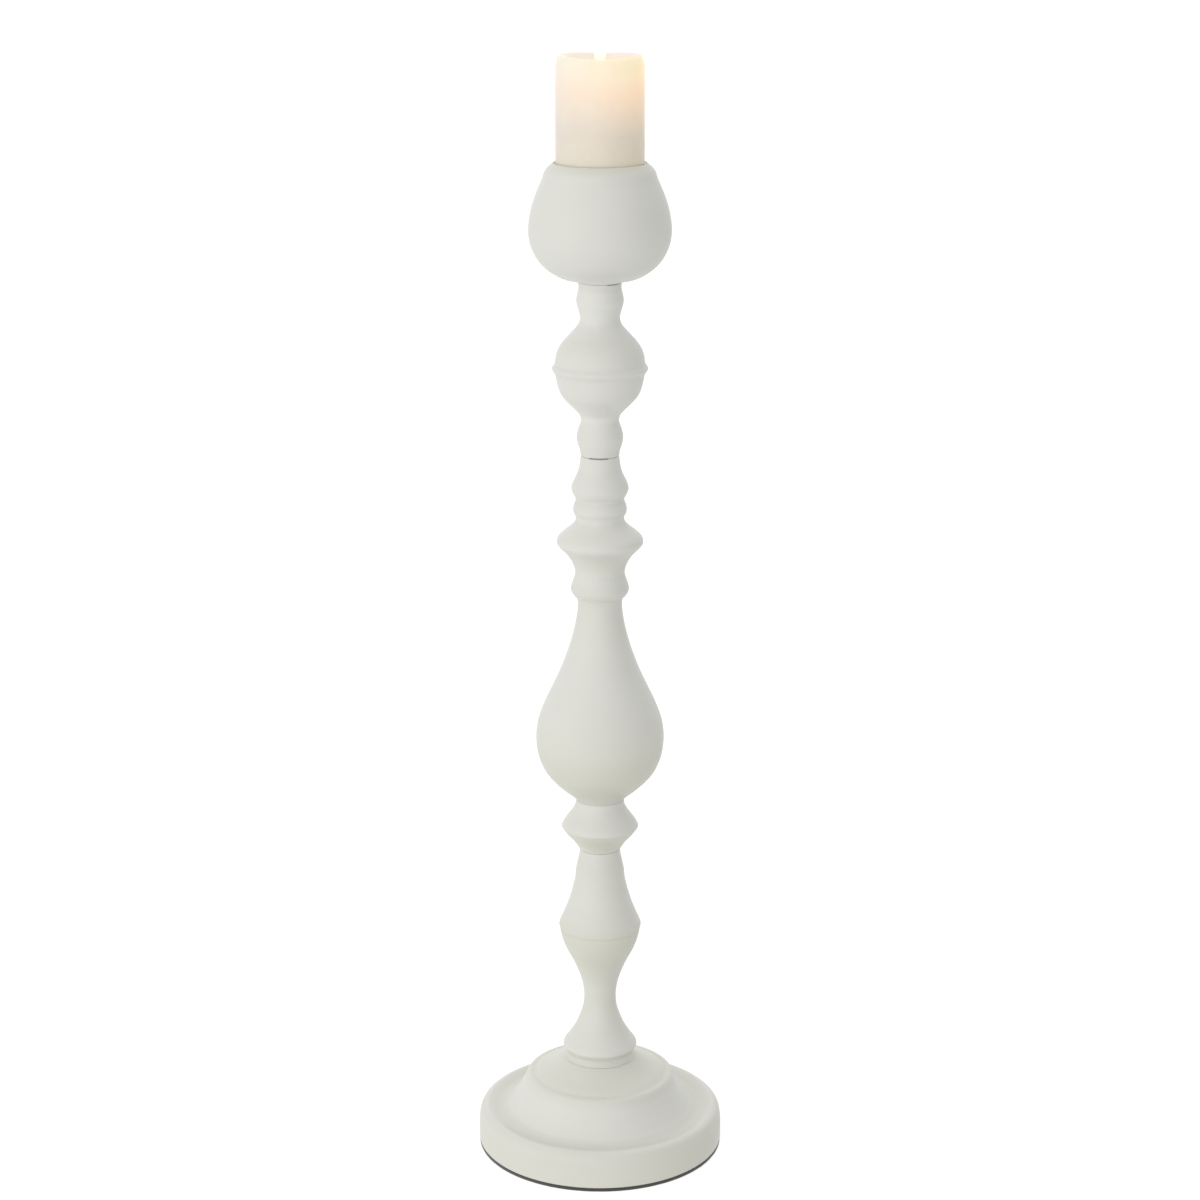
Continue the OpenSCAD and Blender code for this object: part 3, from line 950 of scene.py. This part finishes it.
# The studio's light comes from all round, in lobes: the way each faces, how narrow it is and how
# strong. The first is the key, to the left of the camera. The others fill in from above, from the
# camera's side, from behind and from below.
LOBES = (((-0.707, -0.707, 0.0), 3.0, 0.80),
         ((0.0, 0.0, 1.0), 2.0, 0.75),
         ((0.0, -1.0, 0.0), 3.0, 0.35),
         ((0.0, 1.0, 0.0), 3.0, 1.00),
         ((0.0, 0.0, -1.0), 2.0, 0.55))
BACKDROP = 1.05            # how bright the camera sees the empty background


def studio():
    """A world that lights the object in lobes, and that the camera sees as plain white."""
    world = bpy.data.worlds.new("studio")
    world.use_nodes = True
    nodes, links = world.node_tree.nodes, world.node_tree.links

    def node(kind, operation, *values):
        made = nodes.new(kind)
        if operation:
            made.operation = operation
        for socket, value in zip(made.inputs, values):
            if isinstance(value, bpy.types.NodeSocket):
                links.new(value, socket)
            else:
                socket.default_value = value
        return made

    away = nodes.new("ShaderNodeTexCoord").outputs["Generated"]
    light = 0.0
    for facing, narrowness, strength in LOBES:
        along = node("ShaderNodeVectorMath", "DOT_PRODUCT", away, facing).outputs["Value"]
        half = node("ShaderNodeMath", "MULTIPLY_ADD", along, 0.5, 0.5).outputs[0]
        lobe = node("ShaderNodeMath", "POWER", half, narrowness).outputs[0]
        light = node("ShaderNodeMath", "MULTIPLY_ADD", lobe, strength, light).outputs[0]
    seen = nodes.new("ShaderNodeLightPath").outputs["Is Camera Ray"]
    level = nodes.new("ShaderNodeMix")
    links.new(seen, level.inputs[0])
    links.new(light, level.inputs[2])
    level.inputs[3].default_value = BACKDROP
    links.new(level.outputs[0], nodes["Background"].inputs["Strength"])
    nodes["Background"].inputs["Color"].default_value = (1, 1, 1, 1)
    return world


CAMERA_AWAY = 1.931        # in front of the axis
CAMERA_HEIGHT = 0.94875
CAMERA_PITCH = 15.5        # degrees down from level
CAMERA_LENS = 85.4         # millimetres, on a sensor of SENSOR_WIDTH
SENSOR_WIDTH = 36


def photograph_camera():
    """A camera that sees the candlestick at the photograph's angle."""
    data = bpy.data.cameras.new("camera")
    data.lens = CAMERA_LENS
    data.sensor_width = SENSOR_WIDTH
    camera = bpy.data.objects.new("camera", data)
    camera.location = (0, -CAMERA_AWAY, CAMERA_HEIGHT)
    camera.rotation_euler = (math.radians(90 - CAMERA_PITCH), 0, 0)
    scene.collection.objects.link(camera)
    return camera


scene.world = studio()
scene.camera = photograph_camera()

bpy.context.view_layer.update()
